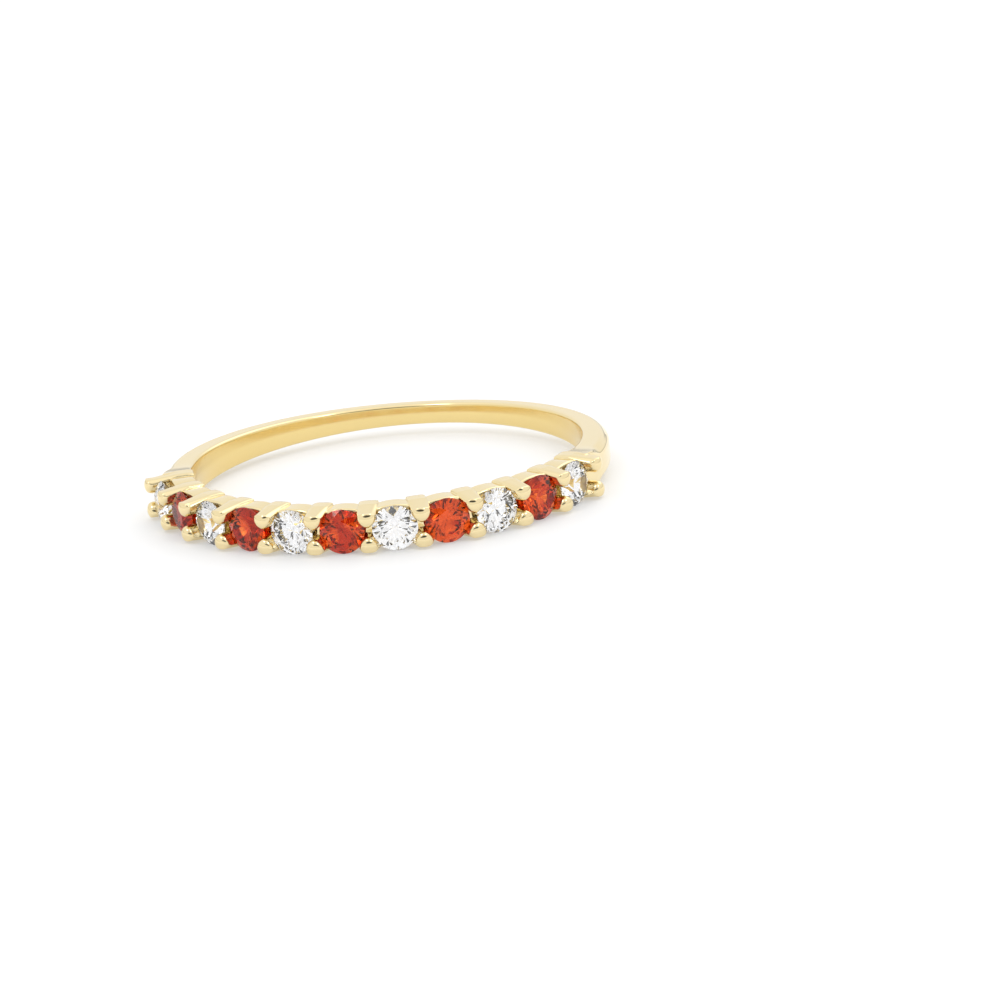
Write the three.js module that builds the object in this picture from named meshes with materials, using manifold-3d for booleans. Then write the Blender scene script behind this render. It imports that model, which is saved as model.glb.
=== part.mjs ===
// A stackable half-eternity ring lying on its side: one cast gold band, with a row of eleven
// round brilliants held by shared prongs. Millimetres, +Z up. The origin is under the middle of
// the ring, on the surface that it lies on; the finger goes through along Z, and the stones face -Y.
import * as THREE from "three";
import { mergeVertices } from "three/addons/utils/BufferGeometryUtils.js";
import Module from "manifold-3d";

const wasm = await Module();
wasm.setup();

// Driving dimensions
const fingerRadius = 8.65; // a US size 7
const stoneCount = 11;
const stoneRadius = 1;
const stonePitch = 13.1; // degrees from one stone to the next
const girdleReach = 10; // from the finger's axis to the widest plane of the stones
const turn = Math.PI / 180;

// Sizes of the brilliant cut, as shares of its radius
const cut = {
  table: 0.56,
  crownAngle: 34.5,
  pavilionAngle: 41,
  girdle: 0.05,
  starReach: 0.76,
  lowerHalfReach: 0.24,
};
const crownHeight = stoneRadius * (1 - cut.table) * Math.tan(cut.crownAngle * turn);
const girdleHeight = stoneRadius * cut.girdle;
const pavilionDepth = stoneRadius * Math.tan(cut.pavilionAngle * turn);

// Sizes of the head, which carries the stones
const head = {
  wallReach: 9.75, // outer radius of the gallery between the prongs
  archHeight: 0.935, // half width at the middle of a stone
  archFoot: 0.85, // half width beside a prong
  innerEdge: 0.1,
  outerEdge: 0.16,
};
const prong = {
  halfWidth: 0.43,
  start: fingerRadius + 0.04,
  shoulder: 9.4, // where the side starts to lean in
  neck: 10.45, // where the rounded tip starts
  tip: 10.65,
  side: 0.985, // half width over the prongs at the base
  tipSide: 0.87, // and at the neck
  inside: 0.235, // half the gap between the two prongs of a pair
  edge: 0.1,
  crown: 0.05, // how far the flat side rounds off towards its edges
  flat: 0.12, // half width of its level middle
};
const headAngle = (stoneCount / 2) * stonePitch; // to the middle of the last prong

// Sizes of the plain shank, at the head and at the back
const shank = {
  start: { thickness: 1.34, halfWidth: 0.8 },
  back: { thickness: 0.87, halfWidth: 0.49 },
  flare: 0.11, // extra half width right beside the last prongs
  flareAngle: 6,
  innerEdge: 0.12,
  outerEdge: 0.28,
};

// Clearances and the light hole behind each stone
const gap = 0.03;
const lightHoleRadius = 0.36;

const bandMaterial = new THREE.MeshStandardMaterial({ color: 0xe6c477, metalness: 1, roughness: 0.18 });
const whiteStoneMaterial = new THREE.MeshStandardMaterial({ color: 0xf3f4f7, metalness: 0, roughness: 0.03 });
const orangeStoneMaterial = new THREE.MeshStandardMaterial({ color: 0xd13a1c, metalness: 0, roughness: 0.03 });

// A closed surface from rings of equal point counts. looped joins the last ring to the first,
// and otherwise each end is closed with a fan.
function loft(rings, looped) {
  const size = rings[0].length;
  const positions = rings.flat().flatMap((p) => [p.x, p.y, p.z]);
  const index = [];
  const bands = looped ? rings.length : rings.length - 1;
  for (let i = 0; i < bands; i++) {
    for (let j = 0; j < size; j++) {
      const a = i * size + j;
      const b = i * size + ((j + 1) % size);
      const c = ((i + 1) % rings.length) * size + j;
      const d = ((i + 1) % rings.length) * size + ((j + 1) % size);
      index.push(a, b, d, a, d, c);
    }
  }
  if (!looped) {
    const last = (rings.length - 1) * size;
    for (let j = 1; j < size - 1; j++) {
      index.push(0, j + 1, j);
      index.push(last, last + j, last + j + 1);
    }
  }
  const geometry = new THREE.BufferGeometry();
  geometry.setAttribute("position", new THREE.Float32BufferAttribute(positions, 3));
  geometry.setIndex(index);
  return geometry;
}

function solidOf(geometry, matrix = new THREE.Matrix4()) {
  const bare = geometry.clone().applyMatrix4(matrix);
  bare.deleteAttribute("normal");
  bare.deleteAttribute("uv");
  const merged = mergeVertices(bare, 1e-4);
  const solid = new wasm.Manifold(
    new wasm.Mesh({
      numProp: 3,
      vertProperties: new Float32Array(merged.attributes.position.array),
      triVerts: new Uint32Array(merged.index.array),
    }),
  );
  return solid;
}

function geometryOf(solid) {
  const mesh = solid.getMesh();
  const geometry = new THREE.BufferGeometry();
  geometry.setAttribute("position", new THREE.Float32BufferAttribute(mesh.vertProperties, 3));
  geometry.setIndex(new THREE.BufferAttribute(mesh.triVerts, 1));
  const flat = geometry.toNonIndexed();
  flat.computeVertexNormals();
  return flat;
}

// The frame of something that stands on the finger's axis at an angle from -Y:
// its X runs along the band, its Y outwards and its Z along the finger.
function outward(degrees, reach = 0) {
  const a = degrees * turn;
  const along = new THREE.Vector3(Math.cos(a), Math.sin(a), 0);
  const out = new THREE.Vector3(Math.sin(a), -Math.cos(a), 0);
  const up = new THREE.Vector3(0, 0, -1);
  return new THREE.Matrix4().makeBasis(along, out, up).setPosition(out.clone().multiplyScalar(reach));
}

// A rectangle with rounded corners between two radii, as points (radius, height).
function bandSection(outerRadius, halfWidth, innerEdge, outerEdge) {
  const corners = [
    [outerRadius - outerEdge, halfWidth - outerEdge, outerEdge, 0, 2],
    [fingerRadius + innerEdge, halfWidth - innerEdge, innerEdge, 90, 1],
    [fingerRadius + innerEdge, innerEdge - halfWidth, innerEdge, 180, 1],
    [outerRadius - outerEdge, outerEdge - halfWidth, outerEdge, 270, 2],
  ];
  return corners.flatMap(([r, z, edge, from, steps]) =>
    Array.from({ length: steps + 1 }, (_, k) => {
      const a = (from + (90 * k) / steps) * turn;
      return new THREE.Vector2(r + edge * Math.cos(a), z + edge * Math.sin(a));
    }),
  );
}

const smooth = (t) => t * t * (3 - 2 * t);
const mix = THREE.MathUtils.lerp;

// The section of the band at an angle from the middle of the head.
function sectionAt(degrees) {
  const away = Math.abs(degrees);
  if (away < headAngle) {
    const bay = Math.abs(degrees / stonePitch - Math.round(degrees / stonePitch)) * 2;
    const footShare = 1 - (2 * prong.halfWidth) / (girdleReach * stonePitch * turn);
    const rise = 1 - Math.min(1, bay / footShare) ** 2;
    return bandSection(
      head.wallReach,
      mix(head.archFoot, head.archHeight, rise),
      head.innerEdge,
      head.outerEdge,
    );
  }
  const t = smooth((away - headAngle) / (180 - headAngle));
  const flare = shank.flare * Math.exp(-(((away - headAngle) / shank.flareAngle) ** 2));
  return bandSection(
    fingerRadius + mix(shank.start.thickness, shank.back.thickness, t),
    mix(shank.start.halfWidth, shank.back.halfWidth, t) + flare,
    shank.innerEdge,
    shank.outerEdge,
  );
}

// The hoop: the gallery of the head and the plain shank in one closed loop.
function hoop() {
  const stations = [];
  const headStep = stonePitch / 4;
  for (let a = -headAngle; a < headAngle - 0.01; a += headStep) stations.push(a);
  stations.push(headAngle - 0.2);
  const shankSteps = 36;
  for (let k = 0; k <= shankSteps; k++) {
    stations.push(headAngle + ((360 - 2 * headAngle - 0.2) * k) / shankSteps);
  }
  const rings = stations.map((station) => {
    const degrees = station > 180 ? station - 360 : station;
    const frame = outward(degrees);
    const section = sectionAt(degrees).reverse();
    return section.map((p) => new THREE.Vector3(0, p.x, -p.y).applyMatrix4(frame));
  });
  return loft(rings, true);
}

// One prong's section: a round side towards the middle of the band and an almost flat outer side.
function prongSection(side, share, roundSteps = 4) {
  const { halfWidth, inside, edge, crown, flat } = prong;
  const middle = inside + halfWidth;
  const points = [];
  for (let k = 0; k <= roundSteps; k++) {
    const a = (180 + (180 * k) / roundSteps) * turn;
    points.push([halfWidth * Math.cos(a), middle + halfWidth * Math.sin(a)]);
  }
  points.push([halfWidth, side - crown - edge], [halfWidth - edge, side - crown], [flat, side]);
  points.push([-flat, side], [edge - halfWidth, side - crown], [-halfWidth, side - crown - edge]);
  const centre = (inside + side) / 2;
  return points.map(([x, v]) => [x * share, centre + (v - centre) * share]);
}

// A prong along its own Y, with a domed tip. up is 1 for the upper one of a pair and -1 for the lower.
function prongGeometry(up) {
  const domeSteps = 2;
  const stations = [
    [prong.start, prong.side, 1],
    [prong.shoulder, prong.side, 1],
    [prong.neck, prong.tipSide, 1],
  ];
  for (let k = 1; k <= domeSteps; k++) {
    const a = (90 * k) / (domeSteps + 0.6) * turn;
    stations.push([mix(prong.neck, prong.tip, Math.sin(a)), prong.tipSide, Math.cos(a)]);
  }
  const rings = stations.map(([reach, side, share]) =>
    prongSection(side, share).map(([x, v]) => new THREE.Vector3(x, reach, -up * v)),
  );
  if (up < 0) rings.forEach((ring) => ring.reverse());
  return loft(rings, false);
}

// The room that a stone needs, with the light hole behind it, turned about its own axis.
function seatGeometry() {
  const wide = stoneRadius + gap + 0.01;
  const holeDepth = (wide - lightHoleRadius) * Math.tan(cut.pavilionAngle * turn);
  const profile = [
    [0, fingerRadius - girdleReach - 1],
    [lightHoleRadius, fingerRadius - girdleReach - 1],
    [lightHoleRadius, -holeDepth],
    [wide, -gap / 2],
    [wide, girdleHeight + gap / 2],
    [stoneRadius * cut.table + gap, girdleHeight + crownHeight + gap],
    [0, girdleHeight + crownHeight + gap],
  ].map(([r, y]) => new THREE.Vector2(r, y));
  return new THREE.LatheGeometry(profile, 16, 11.25 * turn);
}

// A round brilliant with its table towards +Y and the foot of its girdle at the origin.
function brilliantGeometry() {
  const around = (radius, height, sixteenths) => {
    const a = (sixteenths + 0.5) * 22.5 * turn;
    return new THREE.Vector3(radius * Math.cos(a), height, radius * Math.sin(a));
  };
  const R = stoneRadius;
  const crownSlope = Math.tan(cut.crownAngle * turn);
  const pavilionSlope = Math.tan(cut.pavilionAngle * turn);
  const facetMiddle = Math.cos(22.5 * turn);
  const top = girdleHeight + crownHeight;
  const starHeight = top - R * (cut.starReach * facetMiddle - cut.table) * crownSlope;
  const halfHeight = -pavilionDepth + R * cut.lowerHalfReach * facetMiddle * pavilionSlope;
  const culet = new THREE.Vector3(0, -pavilionDepth, 0);
  const table = (k) => around(R * cut.table, top, 2 * k);
  const star = (k) => around(R * cut.starReach, starHeight, 2 * k + 1);
  const crownGirdle = (j) => around(R, girdleHeight, j);
  const foot = (j) => around(R, 0, j);
  const half = (k) => around(R * cut.lowerHalfReach, halfHeight, 2 * k + 1);
  const corners = [];
  const facet = (...points) => {
    for (let k = 1; k < points.length - 1; k++) corners.push(points[0], points[k + 1], points[k]);
  };
  facet(...Array.from({ length: 8 }, (_, k) => table(k)));
  for (let k = 0; k < 8; k++) {
    facet(table(k), star(k), table(k + 1));
    facet(table(k), star(k - 1), crownGirdle(2 * k), star(k));
    facet(star(k), crownGirdle(2 * k), crownGirdle(2 * k + 1));
    facet(star(k), crownGirdle(2 * k + 1), crownGirdle(2 * k + 2));
    facet(half(k), foot(2 * k + 1), foot(2 * k));
    facet(half(k), foot(2 * k + 2), foot(2 * k + 1));
    facet(culet, half(k), foot(2 * k), half(k - 1));
  }
  for (let j = 0; j < 16; j++) facet(crownGirdle(j), foot(j), foot(j + 1), crownGirdle(j + 1));
  const geometry = new THREE.BufferGeometry().setFromPoints(corners);
  geometry.computeVertexNormals();
  return geometry;
}

const stoneAngle = (i) => (i - (stoneCount - 1) / 2) * stonePitch;
const prongAngle = (j) => (j - stoneCount / 2) * stonePitch;

function bandGeometry() {
  let band = solidOf(hoop());
  for (let j = 0; j <= stoneCount; j++) {
    for (const up of [1, -1]) band = band.add(solidOf(prongGeometry(up), outward(prongAngle(j))));
  }
  const seat = seatGeometry();
  for (let i = 0; i < stoneCount; i++) {
    band = band.subtract(solidOf(seat, outward(stoneAngle(i), girdleReach)));
  }
  return geometryOf(band);
}

// The ring's own frame has the finger's axis in the middle; the part's frame has the middle of
// the outline, from the prong tips in front to the back of the shank, and the surface below.
const ring = new THREE.Group();
const backReach = fingerRadius + shank.back.thickness;
const frontReach = prong.tip * Math.cos((stonePitch / 2) * turn);
ring.position.set(0, (frontReach - backReach) / 2, prong.side);

const band = new THREE.Mesh(bandGeometry(), bandMaterial);
band.name = "band";
ring.add(band);

for (let i = 0; i < stoneCount; i++) {
  const orange = i % 2 === 1;
  const stone = new THREE.Mesh(brilliantGeometry(), orange ? orangeStoneMaterial : whiteStoneMaterial);
  const place = outward(stoneAngle(i), girdleReach);
  stone.name = `${orange ? "orange" : "white"}_stone_${Math.floor(i / 2) + 1}`;
  stone.applyMatrix4(place);
  ring.add(stone);
}

const part = new THREE.Group();
part.add(ring);
export default part;
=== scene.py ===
# %% [markdown]
# # A stackable ring, lying on a white table
#
# The ring is one gold casting that holds eleven small round brilliants, clear and orange-red in
# turn. This lesson dresses its plain solids in Blender: a finely blended band, stones with every
# facet of the real cut, polished gold, and the white tent that such rings are photographed in.

# %% The fixed frame
import math

import bpy
import numpy as np
from mathutils import Matrix, Vector


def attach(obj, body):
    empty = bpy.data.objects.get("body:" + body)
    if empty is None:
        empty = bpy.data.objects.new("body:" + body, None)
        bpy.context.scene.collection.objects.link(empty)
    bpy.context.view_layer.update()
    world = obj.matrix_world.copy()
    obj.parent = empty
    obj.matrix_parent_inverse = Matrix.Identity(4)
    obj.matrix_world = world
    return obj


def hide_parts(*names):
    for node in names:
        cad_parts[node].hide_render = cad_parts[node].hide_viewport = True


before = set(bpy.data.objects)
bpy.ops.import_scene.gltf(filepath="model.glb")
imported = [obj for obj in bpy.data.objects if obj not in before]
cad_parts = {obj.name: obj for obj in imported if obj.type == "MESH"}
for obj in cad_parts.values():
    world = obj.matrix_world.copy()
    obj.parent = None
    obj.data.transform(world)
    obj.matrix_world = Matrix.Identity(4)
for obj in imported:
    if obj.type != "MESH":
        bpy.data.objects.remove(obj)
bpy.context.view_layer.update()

scene = bpy.context.scene
print("nodes of the frame:", sorted(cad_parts))

# %% [markdown]
# ## Sizes
#
# All sizes are in millimetres, in the ring's own frame: the finger's axis is Z, and angles run
# from the middle stone, which faces -Y. One number at the end turns them into Blender's metres,
# and one vector moves them to the part's frame, whose origin lies under the middle of the outline.

# %% Sizes of the ring
MM = 0.001
FINGER = 8.65
STONES = 11
STONE_RADIUS = 0.985
PITCH = math.radians(13.1)
GIRDLE_REACH = 10.0
HEAD = PITCH * STONES / 2
PRONG_SIDE = 0.985
TIP = 10.65
BACK_THICKNESS = 0.87

ring_shift = np.array([0.0, (TIP * math.cos(PITCH / 2) - FINGER - BACK_THICKNESS) / 2, PRONG_SIDE])
stone_angles = (np.arange(STONES) - (STONES - 1) / 2) * PITCH
print("head covers", round(math.degrees(2 * HEAD), 1), "degrees")

# %% [markdown]
# ## The camera
#
# The camera stands a long way off with a long lens, as it does for jewellery, so the ring hardly
# shows perspective. Its place was worked out from the prong tips and the edges of the shank. It
# is rolled by six degrees, because the ring in the picture leans a little to one side.

# %% Camera
AZIMUTH, ELEVATION, ROLL = map(math.radians, (11.825, 15.732, -5.883))
DISTANCE = 220.0
LENS_PIXELS = 4931.2
FRAME_PIXELS = 1000
SENSOR = 36.0
SIDEWAYS, UPWARDS = 4.976, -1.5

back = Vector(
    (
        math.sin(AZIMUTH) * math.cos(ELEVATION),
        -math.cos(AZIMUTH) * math.cos(ELEVATION),
        math.sin(ELEVATION),
    )
)
level = (-back).cross(Vector((0, 0, 1))).normalized()
upright = level.cross(-back)
right = math.cos(ROLL) * level + math.sin(ROLL) * upright
up = -math.sin(ROLL) * level + math.cos(ROLL) * upright
place = back * DISTANCE + right * SIDEWAYS + up * UPWARDS + Vector(ring_shift)

camera = bpy.data.objects.new("camera", bpy.data.cameras.new("camera"))
camera.matrix_world = Matrix((right, up, back)).transposed().to_4x4()
camera.location = place * MM
camera.data.sensor_width = SENSOR
camera.data.lens = LENS_PIXELS * SENSOR / FRAME_PIXELS
camera.data.clip_start = 0.005
camera.data.clip_end = 20
scene.collection.objects.link(camera)
scene.camera = camera
print("lens", round(camera.data.lens, 1), "mm at", DISTANCE, "mm")

# %% [markdown]
# ## Shader maths as Python
#
# Wiring nodes by hand hides what a finish does. Here a socket is wrapped so that `1 - mask` adds
# its Math node, and one method makes every other node from its type, its settings and its inputs.

# %% Helpers for node trees
class Socket:
    """A value in a node tree. Operators on it add Math nodes."""

    def __init__(self, socket):
        self.socket = socket

    def math(self, operation, other=0.0, flipped=False):
        node = self.socket.id_data.nodes.new("ShaderNodeMath")
        node.operation = operation
        pair = (other, self) if flipped else (self, other)
        for entry, value in zip(node.inputs, pair):
            plug(entry, value)
        return Socket(node.outputs[0])

    def __add__(self, other):
        return self.math("ADD", other)

    def __radd__(self, other):
        return self.math("ADD", other)

    def __sub__(self, other):
        return self.math("SUBTRACT", other)

    def __rsub__(self, other):
        return self.math("SUBTRACT", other, flipped=True)

    def __mul__(self, other):
        return self.math("MULTIPLY", other)


def plug(entry, value):
    """Links a Socket to an input, or sets the input to a plain value."""
    if isinstance(value, Socket):
        entry.id_data.links.new(value.socket, entry)
    else:
        entry.default_value = value


class Tree:
    """A node tree that is built with one method."""

    def __init__(self, owner):
        owner.use_nodes = True
        self.tree = owner.node_tree
        self.tree.nodes.clear()

    def node(self, kind, settings=None, inputs=None, out=0):
        """Adds a node. Its settings are set first, then its inputs, by name or number."""
        node = self.tree.nodes.new(kind)
        for name, value in (settings or {}).items():
            setattr(node, name, value)
        for name, value in (inputs or {}).items():
            plug(node.inputs[name], value)
        return Socket(node.outputs[out]) if node.outputs else None


print("sockets can now be added, subtracted and multiplied in an expression")

# %% [markdown]
# ## The white tent
#
# Polished gold and cut stones show only what is round them. Such a ring is photographed in a
# white tent over a white sheet. The one dark thing is the camera's own opening, a flat oval a
# little above the line of sight, and it gives the black sparks on the prong tips and in the
# stones. The tent is a little dimmer above it. Two small lamps high up in front give the stones
# their bright flashes, and a broad soft one behind lights the flat sides. A world shader that
# depends on direction alone makes the tent, so that every view has the same light.

# %% World
FRONT_HORIZON, BACK_HORIZON, SIDE, TOP = 0.88, 0.45, 1.0, 1.14
KEY_LIGHT = 0.8
LAMP_LIGHT = 6.0
OPENING_SHADE, ABOVE_SHADE = 0.92, 0.3


def toward(azimuth, elevation):
    """The unit vector at an azimuth from -Y towards +X and an elevation, in degrees."""
    a, e = math.radians(azimuth), math.radians(elevation)
    return (math.sin(a) * math.cos(e), -math.cos(a) * math.cos(e), math.sin(e))


world = bpy.data.worlds.new("white tent")
scene.world = world
tent = Tree(world)
direction = tent.node("ShaderNodeTexCoord", out="Generated")
depth = tent.node("ShaderNodeSeparateXYZ", inputs={0: direction}, out="Y")
height = tent.node("ShaderNodeSeparateXYZ", inputs={0: direction}, out="Z")


def ease_between(value, low, high, start, end):
    """A smooth step of value from low to high, as start to end."""
    entries = {"Value": value, "From Min": low, "From Max": high, "To Min": start, "To Max": end}
    return tent.node("ShaderNodeMapRange", {"interpolation_type": "SMOOTHSTEP"}, entries)


def part_along(azimuth, elevation):
    """The direction's part along the one at an azimuth and an elevation."""
    entries = {0: direction, 1: toward(azimuth, elevation)}
    return tent.node("ShaderNodeVectorMath", {"operation": "DOT_PRODUCT"}, entries, out="Value")


def patch(azimuth, elevation, inner, outer):
    """1 within inner degrees of a direction and 0 beyond outer degrees."""
    low, high = math.cos(math.radians(outer)), math.cos(math.radians(inner))
    return ease_between(part_along(azimuth, elevation), low, high, 0, 1)


def oval(azimuth, elevation, half_width, half_height):
    """1 inside an oval about a direction and 0 outside, with a narrow soft edge."""
    across = part_along(azimuth + 90, 0) * (1 / math.sin(math.radians(half_width)))
    upward = part_along(azimuth, elevation + 90) * (1 / math.sin(math.radians(half_height)))
    facing = ease_between(part_along(azimuth, elevation), 0, 0.1, 0, 1)
    return ease_between(across * across + upward * upward, 0.75, 1.25, 1, 0) * facing


horizon = ease_between(depth, -0.3, 0.4, FRONT_HORIZON, BACK_HORIZON)
walls = ease_between(height, -0.02, 0.12, horizon, SIDE)
roof = ease_between(height, 0.7, 0.97, 0, TOP - SIDE)
key = patch(145, 44, 5, 32)
lamps = patch(-38, 60, 3, 8) + patch(62, 52, 3, 8)
opening = oval(13, 27, 33, 9)
above = patch(10, 50, 4, 18)
light = walls + roof + key * KEY_LIGHT + lamps * LAMP_LIGHT
strength = light * (1 - opening * OPENING_SHADE) * (1 - above * ABOVE_SHADE)
sky = tent.node("ShaderNodeBackground", inputs={"Color": (1, 1, 1, 1), "Strength": strength})
tent.node("ShaderNodeOutputWorld", inputs={"Surface": sky})
print("tent from", BACK_HORIZON, "behind the ring to", TOP, "overhead")

# %% [markdown]
# The sheet under the ring is translucent and lit a little from below, so its shadows are faint
# and soft. It belongs to the studio and not to the ring, and it is not attached to the part.

# %% Sheet under the ring
SHEET_REACH = 2.0

sheet_corners = np.array([(-1, -1, 0), (1, -1, 0), (1, 1, 0), (-1, 1, 0)]) * SHEET_REACH
sheet_mesh = bpy.data.meshes.new("table_sheet")
sheet_mesh.from_pydata(sheet_corners.tolist(), [], [(0, 1, 2, 3)])
table_sheet = bpy.data.objects.new("table_sheet", sheet_mesh)
scene.collection.objects.link(table_sheet)

paper = bpy.data.materials.new("white paper")
tree = Tree(paper)
paper_shader = tree.node(
    "ShaderNodeBsdfPrincipled",
    inputs={
        "Base Color": (0.62, 0.62, 0.62, 1),
        "Roughness": 0.6,
        "Specular IOR Level": 0.2,
        "Emission Color": (1, 1, 1, 1),
        "Emission Strength": 0.34,
    },
)
tree.node("ShaderNodeOutputMaterial", inputs={"Surface": paper_shader})
sheet_mesh.materials.append(paper)
print("sheet", 2 * SHEET_REACH, "m wide")

# %% [markdown]
# ## Polished gold
#
# Gold's colour is its reflection, so the metal needs the right tint and very little roughness. A
# casting that was polished by hand is never quite true: its surface rolls by a few thousandths of
# a millimetre, which bends the reflections. The mop doesn't reach into the seats, and they stay
# satin. They are also painted a darker, deeper gold, a painted shade for their hollows. The face
# towards the finger is only brushed and lies between the two in roughness, and it is painted a
# deeper gold as well, a painted reflection of the gold round it. Two values on the mesh, worked
# out with the shape, say where each of them is.

# %% Gold
GOLD = (0.885, 0.738, 0.43, 1)
# The darker gold below is painted shade in the seats' hollows, and with the share after it a
# painted reflection on the face towards the finger.
SHADE_AND_REFLECTION_GOLD = (0.84, 0.62, 0.20, 1)
BORE_PAINTED_REFLECTION = 0.55
POLISHED, HAZE, SATIN_SEAT, SATIN_BORE = 0.05, 0.06, 0.22, 0.09

gold = bpy.data.materials.new("polished gold")
tree = Tree(gold)
point = tree.node("ShaderNodeTexCoord", out="Object")
seat = tree.node("ShaderNodeAttribute", {"attribute_name": "seat"}, out="Fac")
bore = tree.node("ShaderNodeAttribute", {"attribute_name": "bore"}, out="Fac")
roll = tree.node(
    "ShaderNodeTexNoise", inputs={"Vector": point, "Scale": 650, "Detail": 1.0, "Roughness": 0.4}
)
haze = tree.node(
    "ShaderNodeTexNoise", inputs={"Vector": point, "Scale": 2600, "Detail": 3.0, "Roughness": 0.6}
)
# The tint is pulled towards the darker gold: painted shade in the seats, painted reflection on the
# face towards the finger.
painted_shade_and_reflection = seat + bore * BORE_PAINTED_REFLECTION
tint = tree.node(
    "ShaderNodeMix", {"data_type": "RGBA"}, {0: painted_shade_and_reflection, 6: GOLD, 7: SHADE_AND_REFLECTION_GOLD}, out=2
)
bent = tree.node("ShaderNodeBump", inputs={"Strength": 0.35, "Distance": 0.00002, "Height": roll})
polish = POLISHED + haze * HAZE + seat * SATIN_SEAT + bore * SATIN_BORE
gold_shader = tree.node(
    "ShaderNodeBsdfPrincipled",
    inputs={"Base Color": tint, "Metallic": 1.0, "Roughness": polish, "Normal": bent},
)
tree.node("ShaderNodeOutputMaterial", inputs={"Surface": gold_shader})
print(gold.name, "has", len(gold.node_tree.nodes), "nodes")

# %% [markdown]
# ## Clear and orange zirconia
#
# Zirconia bends light almost as strongly as diamond, so the facets behind throw most of it back
# out of the front. The shader is plain glass with that index, and the cut does the rest. The
# orange stones are tinted through, and a cloud of deeper dye makes no two quite alike.

# %% Stones
ZIRCONIA_INDEX = 2.17
CLOUD_CONTRAST, CLOUD_START = 6.5, 2.85
DYE_DENSITY = 650.0
WIPE = 0.012


def zirconia(name, pale, deep, glare, swallowed=None):
    """A glass whose tint drifts between two colours, with a dye that takes light on its way."""
    material = bpy.data.materials.new(name)
    tree = Tree(material)
    point = tree.node("ShaderNodeTexCoord", out="Object")
    cloud = tree.node("ShaderNodeTexNoise", inputs={"Vector": point, "Scale": 1100, "Detail": 0.0})
    share = cloud * CLOUD_CONTRAST - CLOUD_START
    tint = tree.node("ShaderNodeMix", {"data_type": "RGBA"}, {0: share, 6: pale, 7: deep}, out=2)
    wipe = tree.node("ShaderNodeTexNoise", inputs={"Vector": point, "Scale": 3000, "Detail": 2.0})
    shader = tree.node(
        "ShaderNodeBsdfPrincipled",
        inputs={
            "Base Color": tint,
            "Roughness": wipe * WIPE,
            "IOR": ZIRCONIA_INDEX,
            "Specular Tint": glare,
            "Transmission Weight": 1.0,
        },
    )
    ends = {"Surface": shader}
    if swallowed:
        ends["Volume"] = tree.node(
            "ShaderNodeVolumeAbsorption", inputs={"Color": swallowed, "Density": DYE_DENSITY}
        )
    tree.node("ShaderNodeOutputMaterial", inputs=ends)
    return material


clear_stone = zirconia(
    "clear zirconia", (0.99, 0.99, 1.0, 1), (0.95, 0.96, 0.98, 1), (0.6, 0.6, 0.6, 1)
)
orange_stone = zirconia(
    "orange zirconia",
    (1.0, 0.30, 0.05, 1),
    (0.34, 0.016, 0.004, 1),
    (0.55, 0.28, 0.25, 1),
    (0.89, 0.26, 0.035, 1),
)
print("stones of", clear_stone.name, "and", orange_stone.name)

# %% [markdown]
# ## The band
#
# The real band is cast from a wax in one piece: the shank flows into the gallery, each prong
# grows out of the wall with a small fillet, and the seats are burred out of it afterwards. No
# single grid of two parameters has those holes and blends. So the wax is described by one number
# at every point of space, the distance to its surface, negative inside. Simple shapes have simple
# distances, the smaller of two joins them, and a softened minimum leaves the fillet.

# %% Soft minimum
def soft_min(a, b, blend):
    """The smaller of a and b, rounded off where they differ by less than blend."""
    share = np.clip(0.5 + 0.5 * (b - a) / blend, 0, 1)
    return b + (a - b) * share - blend * share * (1 - share)


def soft_max(a, b, blend):
    """The larger of a and b, rounded off in the same way."""
    return -soft_min(-a, -b, blend)


def ease(t):
    """3t^2 - 2t^3 between 0 and 1, flat outside."""
    t = np.clip(t, 0, 1)
    return t * t * (3 - 2 * t)


print("soft minimum of 0 and 0 with a blend of 0.1:", round(float(soft_min(0.0, 0.0, 0.1)), 3))

# %% [markdown]
# The hoop is the plain shank, with the gallery that goes on from it under the stones. Its section
# is nearly a rectangle all the way round, and only that rectangle's sizes change with the angle.

# %% Hoop
SHANK_THICKNESS = (1.34, BACK_THICKNESS)
SHANK_HALF_WIDTH = (0.80, 0.49)
FLARE, FLARE_ANGLE = 0.155, math.radians(7)
SHANK_EASE = math.radians(1.5)
WALL_REACH = 9.75
WALL_CHAMFER = 0.06
BEVEL_START, BEVEL_GROWTH, BEVEL_LOSS = 0.02, 0.28, 0.12
BEVEL_DELAY, BEVEL_RUN = math.radians(2.4), math.radians(9)
EDGE_BLEND, BEVEL_BLEND, INNER_BLEND = 0.03, 0.07, 0.10
LEAN, SHANK_LEAN, LEAN_FLAT = 0.10, 0.04, 0.1
ARCH, ARCH_FOOT = 0.935, 0.85
ROLL_REACH, ROLL_OFF = 0.35, 0.35
PRONG_HALF = 0.43
PRONG_MIDDLE, PRONG_ARC = 0.73, 0.56
ARCH_SHARE = 1 - 2 * PRONG_HALF / (GIRDLE_REACH * PITCH)


def rolled(radius):
    """How far polishing has rolled the flat sides down beside the finger."""
    return ROLL_OFF * np.maximum(0, FINGER + ROLL_REACH - radius) ** 2


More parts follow.
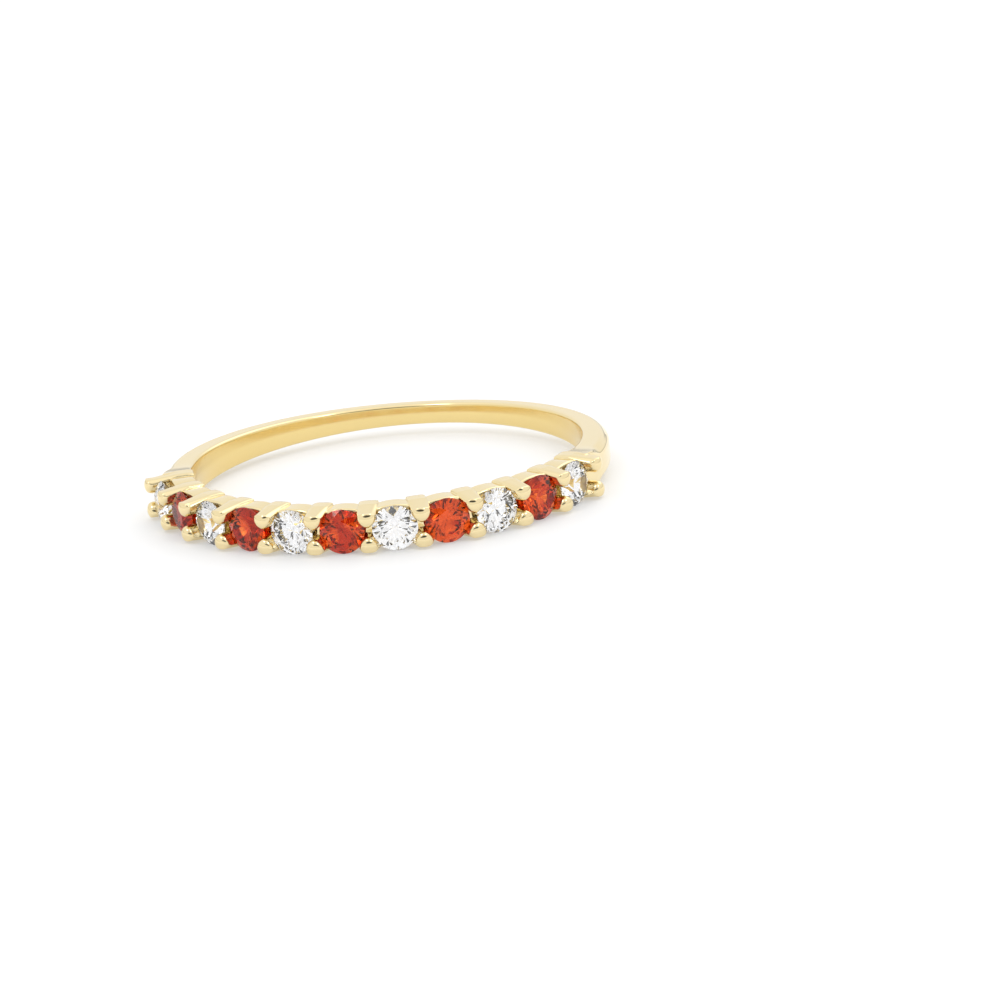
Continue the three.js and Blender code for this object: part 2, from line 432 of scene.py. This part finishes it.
def hoop(radius, angle, z):
    """A rectangle of (radius, z) with an inner fillet and an outer bevel, whose size depends on the
    angle: arched between the prongs of the head, and eased from front to back in the shank.

    The bore opens towards its rims: radius = finger + lean (sqrt(z^2 + flat^2) - flat)."""
    away = np.abs(angle)
    bay = np.abs(angle / PITCH - np.round(angle / PITCH)) * 2
    arch = ARCH_FOOT + (ARCH - ARCH_FOOT) * (1 - np.minimum(1, bay / ARCH_SHARE) ** 2)
    along = ease((away - HEAD) / (math.pi - HEAD))
    width = SHANK_HALF_WIDTH[0] + (SHANK_HALF_WIDTH[1] - SHANK_HALF_WIDTH[0]) * along
    width = width + FLARE * np.exp(-(((away - HEAD) / FLARE_ANGLE) ** 2))
    thick = SHANK_THICKNESS[0] + (SHANK_THICKNESS[1] - SHANK_THICKNESS[0]) * along
    shank = ease((away - HEAD) / SHANK_EASE + 0.5)
    half_width = arch + (width - arch) * shank
    reach = WALL_REACH + (FINGER + thick - WALL_REACH) * shank
    behind = ease((away - HEAD - BEVEL_DELAY) / BEVEL_RUN)
    chamfer = BEVEL_START + BEVEL_GROWTH * behind - BEVEL_LOSS * along
    chamfer = WALL_CHAMFER * (1 - shank) + shank * chamfer
    top = np.abs(z) - half_width + rolled(radius)
    outer = radius - reach
    bevel = (top + outer + chamfer) * math.sqrt(0.5)
    lean = (LEAN + SHANK_LEAN * shank) * (np.sqrt(z**2 + LEAN_FLAT**2) - LEAN_FLAT)
    inner = FINGER + lean - radius
    edge = soft_max(top, outer, EDGE_BLEND)
    body = soft_max(edge, bevel, EDGE_BLEND + BEVEL_BLEND * behind)
    return soft_max(body, inner, INNER_BLEND)


print("shank from", SHANK_THICKNESS[0], "to", SHANK_THICKNESS[1], "mm thick")

# %% [markdown]
# Every prong is the same, so one formula for the nearest one makes all of them. Only their length
# differs: the casting isn't quite even, and its end prongs, mostly the left ones, came out longer.

# %% Prongs
SIDE_REACHES, SIDE_HEIGHTS = (8.6, 9.4, 10.45), (PRONG_SIDE, PRONG_SIDE, 0.87)
CROWNS = (0.05, 0.05, 0.18)
OUTER_STRETCH, RIDGE_SOFTNESS = 0.6, 0.03
TIP_MIDDLE, TIP_FALL, DOME_SHARE = 0.58, 1.0, 0.85
TIP_BLEND, SIDE_BLEND, ROOT_BLEND = 0.14, 0.03, 0.08
LONGER = np.zeros(STONES + 1)
LONGER[[0, 1, 2, 3, -1]] = 0.25, 0.08, 0.10, 0.05, 0.10


def prongs(radius, angle, z):
    """The nearest prong: a bar of two arcs that meet in a soft ridge, with a crowned outer side,
    ended by a shallow dome: out = tip - fall * (along^2 + (|z| - middle)^2)."""
    count = np.clip(np.floor(angle / PITCH) + 0.5, -STONES / 2, STONES / 2)
    along = radius * np.sin(angle - count * PITCH)
    out = radius * np.cos(angle - count * PITCH)
    high = np.abs(z)
    across = (high - PRONG_MIDDLE) * np.where(high < PRONG_MIDDLE, 1, OUTER_STRETCH)
    ridge = np.hypot(along, RIDGE_SOFTNESS) + PRONG_ARC - PRONG_HALF
    bar = np.hypot(ridge, across) - PRONG_ARC
    tip = TIP + LONGER[(count + STONES / 2).astype(int)]
    dome = out - tip + TIP_FALL * (along**2 + (high - TIP_MIDDLE) ** 2)
    bar = soft_max(bar, dome * DOME_SHARE, TIP_BLEND)
    crown = np.interp(out, SIDE_REACHES, CROWNS) * (along / PRONG_HALF) ** 4
    side = np.interp(out, SIDE_REACHES, SIDE_HEIGHTS) - crown - rolled(radius)
    bar = soft_max(bar, high - side, SIDE_BLEND)
    return soft_max(bar, FINGER - radius, ROOT_BLEND)


print("prongs:", 2 * len(LONGER), "in pairs, the longest to", TIP + LONGER.max(), "mm")

# %% [markdown]
# The seats are cut last, as the setter's burr does it, with a hole behind each stone that lets
# light in. The first stone on the left was set a little high, between the longer prongs.

# %% Seats and finished metal
SEAT_GAP = 0.012
HOLE = 0.36
PAVILION, CROWN_SLOPE = math.radians(41), math.radians(34.5)
GIRDLE_HEIGHT = 0.05
SEAT_EDGE, HOLE_BLEND = 0.02, 0.06
FILLET, END_FILLET, FILLET_EASE = 0.035, 0.09, math.radians(2)
LIFTED = np.zeros(STONES)
LIFTED[0] = 0.2


def seats(radius, angle, z):
    """The nearest seat: two cones that meet at the girdle, and a hole to the finger's side."""
    count = np.clip(np.round(angle / PITCH), -(STONES // 2), STONES // 2).astype(int)
    nearest = count * PITCH
    across = np.hypot(radius * np.sin(angle - nearest), z)
    above = radius * np.cos(angle - nearest) - GIRDLE_REACH - LIFTED[count + STONES // 2]
    rim = across - STONE_RADIUS - SEAT_GAP
    lower = rim * math.sin(PAVILION) - above * math.cos(PAVILION)
    upper = rim * math.sin(CROWN_SLOPE) + (above - GIRDLE_HEIGHT) * math.cos(CROWN_SLOPE)
    cut = np.maximum(np.maximum(lower, upper), rim)
    return soft_min(cut, np.maximum(across - HOLE, above), HOLE_BLEND)


def metal(x, y, z):
    """The finished casting: hoop and prongs joined with a fillet, its sides lapped flat, and then
    the seats cut out."""
    radius, angle = np.hypot(x, y), np.arctan2(x, -y)
    fillet = FILLET + END_FILLET * ease((np.abs(angle) - HEAD) / FILLET_EASE)
    cast = soft_min(hoop(radius, angle, z), prongs(radius, angle, z), fillet)
    cast = np.maximum(cast, np.abs(z) - PRONG_SIDE)
    return soft_max(cast, -seats(radius, angle, z), SEAT_EDGE)


back_depth = metal(np.array([0.0]), np.array([FINGER + BACK_THICKNESS / 2]), np.array([0.0]))
print("the middle of the back lies", round(-float(back_depth[0]), 2), "mm inside the metal")

# %% [markdown]
# To turn the distance into a mesh, space is cut into small cells along the ring, outwards and
# across. Every cell that the surface passes through gets one point, the average of where the
# surface crosses its edges, and every cell edge that is crossed gets one face between the four
# cells round it.

# %% Surface through the cells
CELL_EDGES = [(0, 1), (2, 3), (4, 5), (6, 7), (0, 2), (1, 3)]
CELL_EDGES += [(4, 6), (5, 7), (0, 4), (1, 5), (2, 6), (3, 7)]


def surface_of(field, angles, radii, heights):
    """Points and quads of the surface field(x, y, z) = 0 on a closed polar grid."""
    a, r, h = np.meshgrid(angles, radii, heights, indexing="ij")
    inside = field(r * np.sin(a), -r * np.cos(a), h)
    closed = np.concatenate([inside, inside[:1]])
    values = np.stack(
        [
            closed[i : len(angles) + i, j : len(radii) - 1 + j, k : len(heights) - 1 + k]
            for i in (0, 1)
            for j in (0, 1)
            for k in (0, 1)
        ]
    )
    crossed = (values < 0).any(0) & (values >= 0).any(0)
    numbers = np.full(crossed.shape, -1)
    numbers[crossed] = np.arange(crossed.sum())
    corner = values[:, crossed]
    places = np.array([(i, j, k) for i in (0, 1) for j in (0, 1) for k in (0, 1)], float)
    total, count = np.zeros((corner.shape[1], 3)), np.zeros(corner.shape[1])
    for one, other in CELL_EDGES:
        cut = (corner[one] < 0) != (corner[other] < 0)
        gap = np.where(cut, corner[one] - corner[other], 1)
        share = corner[one] / gap
        spot = places[one] + share[:, None] * (places[other] - places[one])
        total += np.where(cut[:, None], spot, 0)
        count += cut
    local = total / count[:, None]
    i, j, k = np.nonzero(crossed)
    steps = np.diff(np.concatenate([angles, angles[:1] + 2 * math.pi]))
    angle = angles[i] + steps[i] * local[:, 0]
    radius = radii[j] + np.diff(radii)[j] * local[:, 1]
    height = heights[k] + np.diff(heights)[k] * local[:, 2]
    points = np.stack([radius * np.sin(angle), -radius * np.cos(angle), height], -1)
    previous = np.roll(numbers, 1, axis=0)
    quads = []

    def faces(first, second, around):
        """Adds a quad round each grid edge from first to second that crosses the surface."""
        changes = (first < 0) != (second < 0)
        ring = np.stack([part[changes] for part in around], -1)
        outward = (first < 0)[changes]
        quads.append(np.where(outward[:, None], ring[:, ::-1], ring))

    inner = inside[:, 1:-1, 1:-1]
    faces(
        inner,
        np.roll(inside, -1, axis=0)[:, 1:-1, 1:-1],
        (numbers[:, :-1, :-1], numbers[:, 1:, :-1], numbers[:, 1:, 1:], numbers[:, :-1, 1:]),
    )
    faces(
        inside[:, :-1, 1:-1],
        inside[:, 1:, 1:-1],
        (previous[:, :, :-1], previous[:, :, 1:], numbers[:, :, 1:], numbers[:, :, :-1]),
    )
    faces(
        inside[:, 1:-1, :-1],
        inside[:, 1:-1, 1:],
        (previous[:, :-1], numbers[:, :-1], numbers[:, 1:], previous[:, 1:]),
    )
    return points, np.concatenate(quads)


print("each cell has", len(CELL_EDGES), "edges to test")

# %% [markdown]
# Each point then slides down the slope of the distance until it lies on the surface. The cells
# are a little over 0.05 mm in the head, and long in the shank, where little changes along it.

# %% Mesh of the band
CELL = 0.054
CELLS_PER_BAY = 40
HEAD_MARGIN = math.radians(5)
SHANK_STEPS = 100
LAYERS = 40
INNER_MARGIN, OUTER_MARGIN = 0.11, 0.33
LEAST_SLOPE = 0.2


def slope(field, points, step=0.002):
    """The gradient of the field, from differences to both sides."""
    moves = np.eye(3) * step
    sides = [field(*(points + move).T) - field(*(points - move).T) for move in moves]
    return np.stack(sides, -1) / (2 * step)


def settle(field, points, rounds=4):
    """Slides points along the gradient until the field is zero."""
    for _ in range(rounds):
        fall = slope(field, points)
        push = field(*points.T) / np.maximum((fall**2).sum(-1), LEAST_SLOPE)
        points = points - fall * np.clip(push, -CELL / 2, CELL / 2)[:, None]
    return points


bay_step = PITCH / CELLS_PER_BAY
head_reach = HEAD + HEAD_MARGIN
head_count = int(round(2 * head_reach / bay_step))
head_angles = np.linspace(-head_reach, head_reach, head_count, endpoint=False)
shank_angles = np.linspace(head_reach, 2 * math.pi - head_reach, SHANK_STEPS, endpoint=False)
ring_angles = np.concatenate([head_angles, shank_angles])
ring_radii = np.arange(FINGER - INNER_MARGIN, TIP + OUTER_MARGIN, CELL)
ring_heights = (np.arange(LAYERS) - (LAYERS - 1) / 2) * CELL
band_points, band_quads = surface_of(metal, ring_angles, ring_radii, ring_heights)
band_points = settle(metal, band_points)
one, two, three, four = (band_points[band_quads[:, i]] for i in range(4))
volume = (np.cross(one, two) * three + np.cross(one, three) * four).sum() / 6
triangles = 2 * len(band_quads)
print("band:", len(band_points), "points,", triangles, "triangles,", round(volume, 1), "mm3")

# %% [markdown]
# The mesh takes its normals from the slope of the distance, which is exact, and not from its
# faces. Two values are stored at every point for the gold: how deep it lies in a seat, and how
# squarely it faces the finger. They set its roughness, and where its painted shade and painted
# reflection go.

# %% Band object
BORE_FROM, BORE_EASE = 0.75, 0.2
SEAT_FADE = 0.06


def mesh_object(name, points, faces, material):
    """An object from points in the ring's frame. Its own origin stays at the part's."""
    mesh = bpy.data.meshes.new(name)
    mesh.from_pydata(((points + ring_shift) * MM).tolist(), [], faces)
    mesh.materials.append(material)
    made = bpy.data.objects.new(name, mesh)
    scene.collection.objects.link(made)
    return made


band = mesh_object("polished_band", band_points, band_quads.tolist(), gold)
band.data.shade_smooth()
slopes = slope(metal, band_points)
slopes /= np.linalg.norm(slopes, axis=1, keepdims=True)
band.data.normals_split_custom_set_from_vertices(slopes.tolist())
band_radius = np.hypot(band_points[:, 0], band_points[:, 1])
band_angle = np.arctan2(band_points[:, 0], -band_points[:, 1])
seat_depth = 1 - ease(seats(band_radius, band_angle, band_points[:, 2]) / SEAT_FADE)
inward = slopes[:, 1] * np.cos(band_angle) - slopes[:, 0] * np.sin(band_angle)
facing_bore = ease((inward - BORE_FROM) / BORE_EASE)
for name, values in (("seat", seat_depth), ("bore", facing_bore)):
    layer = band.data.attributes.new(name, "FLOAT", "POINT")
    layer.data.foreach_set("value", values.astype(np.float32))
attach(band, "root")
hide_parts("band")
print(band.name, "replaces the plain band")

# %% [markdown]
# ## The stones
#
# A round brilliant has 57 facets: a table, eight stars, eight kites and sixteen halves above the
# girdle, and eight mains and sixteen halves below it. Each ring of corners is a radius and a
# height at regular angles, and planes meet where the real cutter's planes do, so the girdle ends
# up with the scalloped edge that a turned cone wouldn't have.

# %% Brilliant cut
TABLE, STAR, LOWER = 0.56, 0.76, 0.22
GIRDLE_STEPS = 4


def brilliant(radius, spin):
    """Corners of a brilliant about +Z, its girdle's foot at height 0, and its flat facets.

    Star corners lie on the kites' planes: height = top - (r cos 22.5 - table) tan crown.
    The girdle's edge is where the plane of each half facet meets the cylinder."""
    eighth, sixteenth = math.pi / 4, math.pi / 8
    crown, pavilion = math.tan(CROWN_SLOPE), math.tan(PAVILION)
    top = GIRDLE_HEIGHT + radius * (1 - TABLE) * crown
    bottom = -radius * pavilion
    star_height = top - radius * (STAR * math.cos(sixteenth) - TABLE) * crown
    low_height = bottom + radius * LOWER * math.cos(sixteenth) * pavilion
    eight = np.arange(8) * eighth
    around = np.arange(16 * GIRDLE_STEPS) * sixteenth / GIRDLE_STEPS
    middle = (np.floor(around / sixteenth) + 0.5) * sixteenth
    dip = np.cos(around - middle) - math.cos(sixteenth / 2)
    upper_run = radius * (1 - STAR) * math.cos(sixteenth / 2)
    lower_run = radius * (1 - LOWER) * math.cos(sixteenth / 2)
    upper_slope = (star_height - GIRDLE_HEIGHT) / upper_run
    lower_slope = -low_height / lower_run

    def ring(share, angles, height):
        turned = angles + spin
        flat = np.stack([np.cos(turned) * share, np.sin(turned) * share], -1) * radius
        return np.column_stack([flat, np.broadcast_to(height, angles.shape)])

    corners = np.concatenate(
        [
            ring(TABLE, eight, top),
            ring(STAR, eight + sixteenth, star_height),
            ring(1, around, GIRDLE_HEIGHT - dip * radius * upper_slope),
            ring(1, around, dip * radius * lower_slope),
            ring(LOWER, eight + sixteenth, low_height),
            [[0, 0, bottom]],
        ]
    )
    count = len(around)
    table, star = np.arange(8), 8 + np.arange(8)
    edge, foot = 16 + np.arange(count), 16 + count + np.arange(count)
    low, culet = 16 + 2 * count + np.arange(8), 16 + 2 * count + 8
    facets = [table.tolist()]
    for k in range(8):
        start = 2 * k * GIRDLE_STEPS
        halves = [
            np.arange(start + skip, start + skip + GIRDLE_STEPS + 1) % count
            for skip in (0, GIRDLE_STEPS)
        ]
        facets.append([table[k], star[k], table[(k + 1) % 8]])
        facets.append([table[k], star[k - 1], edge[start], star[k]])
        facets.append([culet, low[k], foot[start], low[k - 1]])
        for run in halves:
            facets.append([star[k], *edge[run]])
            facets.append([low[k], *foot[run][::-1]])
    walls = np.stack([edge, foot, np.roll(foot, -1), np.roll(edge, -1)], -1)
    facets.extend(walls.tolist())
    return corners, [[int(i) for i in facet] for facet in facets]


print("the cut has", len(brilliant(STONE_RADIUS, 0)[1]), "faces, with those of its girdle")

# %% [markdown]
# A setter doesn't line the facets up, so each stone is turned in its seat by a chance amount. The
# same seed gives the same turns on every run.

# %% Set stones
chance = np.random.default_rng(11)
for i, angle in enumerate(stone_angles):
    colour = "orange" if i % 2 else "white"
    corners, facets = brilliant(STONE_RADIUS, chance.uniform(0, math.pi / 4))
    along = np.array([math.cos(angle), math.sin(angle), 0])
    outward = np.array([math.sin(angle), -math.cos(angle), 0])
    across = np.cross(outward, along)
    points = corners @ np.array([along, across, outward]) + outward * (GIRDLE_REACH + LIFTED[i])
    node = f"{colour}_stone_{i // 2 + 1}"
    stone = mesh_object(f"cut_{node}", points, facets, orange_stone if i % 2 else clear_stone)
    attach(stone, "root")
    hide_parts(node)
print("stones:", STONES, "of", len(facets), "faces")

# %% [markdown]
# ## Light paths and colour
#
# Light bounces many times inside a stone before it leaves, so the glass is allowed more bounces
# than usual. The picture's whites are plain paper white, so colours are shown without a film curve.

# %% Light paths
scene.cycles.max_bounces = 24
scene.cycles.transmission_bounces = 20
scene.cycles.glossy_bounces = 8
scene.cycles.caustics_reflective = True
scene.cycles.caustics_refractive = True
scene.view_settings.view_transform = "Standard"
print("bounces inside a stone: up to", scene.cycles.transmission_bounces)
